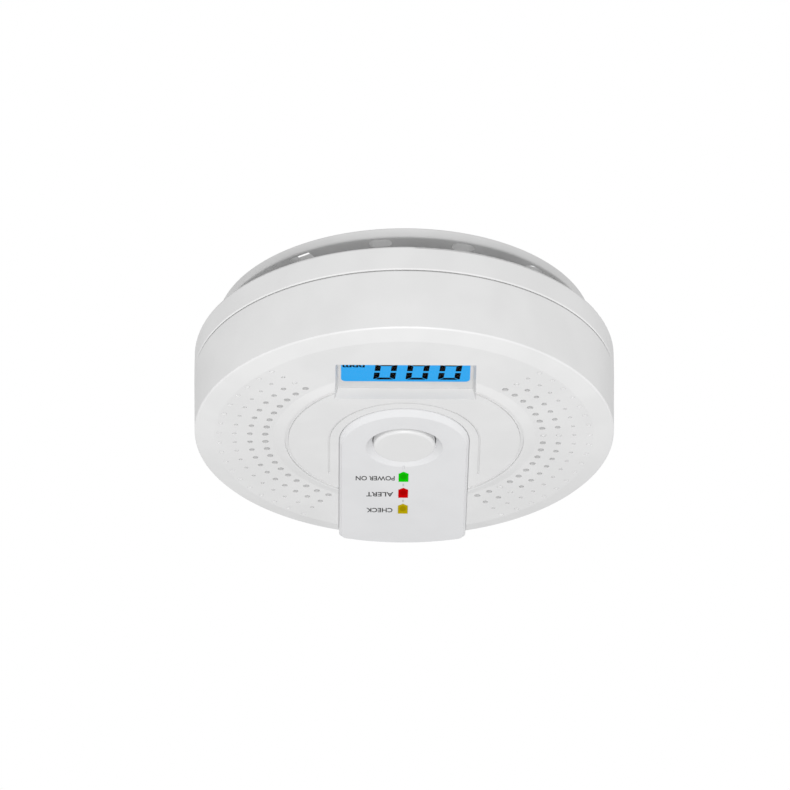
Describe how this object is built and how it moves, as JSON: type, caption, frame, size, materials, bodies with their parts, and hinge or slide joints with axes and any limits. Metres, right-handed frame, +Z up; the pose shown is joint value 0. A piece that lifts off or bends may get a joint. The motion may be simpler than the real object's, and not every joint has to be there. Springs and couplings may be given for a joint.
{
  "type": "carbon monoxide alarm",
  "caption": "Round ceiling carbon monoxide alarm with a digital display, a test button, indicator lights and a twist-lock mounting plate.",
  "frame": {"origin": "middle of the mounting plate's ceiling face, half way between its two screw slots", "axes": "+Z points up into the ceiling, the face looks down along -Z; the display is on the -Y side and the status panel with the indicators on the +Y side; +X is the sounder's side"},
  "size_m": [0.1094, 0.1094, 0.0366],
  "materials": {
    "plate_plastic": "fine satin moulding",
    "cover_plastic": "fine satin moulding",
    "panel_plastic": "fine satin moulding",
    "button_plastic": "fine satin moulding",
    "screw_steel": "zinc plated",
    "screen_mesh": "woven mesh",
    "spring_steel": "drawn wire",
    "switch_plastic": "satin",
    "board_laminate": "solder mask",
    "chip_black": "moulded",
    "can_metal": "drawn can",
    "capacitor_sleeve": "shrink sleeve",
    "inductor_winding": "lacquered winding",
    "holder_plastic": "satin",
    "foam": "closed-cell foam",
    "sounder_plastic": "satin",
    "sounder_brass": "rolled sheet",
    "sounder_ceramic": "fired",
    "clear_window": "polished clear",
    "display_glass": "lit liquid crystal glass",
    "display_light": "lit light guide",
    "strip_rubber": "layered rubber",
    "lamp_body": "moulded lamp",
    "green_light": "tinted light pipe",
    "red_light": "tinted light pipe",
    "amber_light": "tinted light pipe",
    "cell_jacket": "plain printed jacket",
    "contact_metal": "nickel plated"
  },
  "bodies": {
    "plate": {"mounting_plate": "plate_plastic"},
    "head": {"rear_cover": "cover_plastic", "battery_door": "cover_plastic", "front_cover": "cover_plastic", "status_panel": "panel_plastic", "housing_screws": "screw_steel", "screen_left": "screen_mesh", "screen_right": "screen_mesh", "button_spring": "spring_steel", "switch_body": "switch_plastic", "circuit_board": "board_laminate", "board_screws": "screw_steel", "microcontroller": "chip_black", "timing_crystal": "can_metal", "chip_resistors": "chip_black", "capacitor": "capacitor_sleeve", "inductor": "inductor_winding", "co_sensor": "can_metal", "sensor_holder": "holder_plastic", "sensor_gasket": "foam", "sounder_housing": "sounder_plastic", "sounder_disc": "sounder_brass", "sounder_ceramic": "sounder_ceramic", "sounder_contacts": "sounder_brass", "display_window": "clear_window", "display_glass": "display_glass", "display_backlight": "display_light", "display_frame": "holder_plastic", "display_strips": "strip_rubber", "led_green": "lamp_body", "led_red": "lamp_body", "led_amber": "lamp_body", "light_pipe_green": "green_light", "light_pipe_red": "red_light", "light_pipe_amber": "amber_light", "battery_1": "cell_jacket", "battery_2": "cell_jacket", "battery_contacts": "contact_metal", "battery_springs": "contact_metal"},
    "button": {"test_button": "button_plastic"},
    "plunger": {"switch_plunger": "switch_plastic"}
  },
  "joints": [
    {"name": "head_twist", "type": "hinge", "parent": "plate", "child": "head", "pos_m": [0, 0, 0], "axis": [0, 0, -1], "range_deg": [0, 25]},
    {"name": "button_press", "type": "slide", "parent": "head", "child": "button", "axis": [0, 0, 1], "range_m": [0, 0.001], "stiffness_N_per_m": 700, "springref_m": -0.002, "deforming": ["button_spring"]},
    {"name": "plunger_press", "type": "slide", "parent": "head", "child": "plunger", "axis": [0, 0, 1], "range_m": [0, 0.001]}
  ],
  "couplings": [
    {"joint": "plunger_press", "follows": "button_press", "ratio": 1}
  ]
}
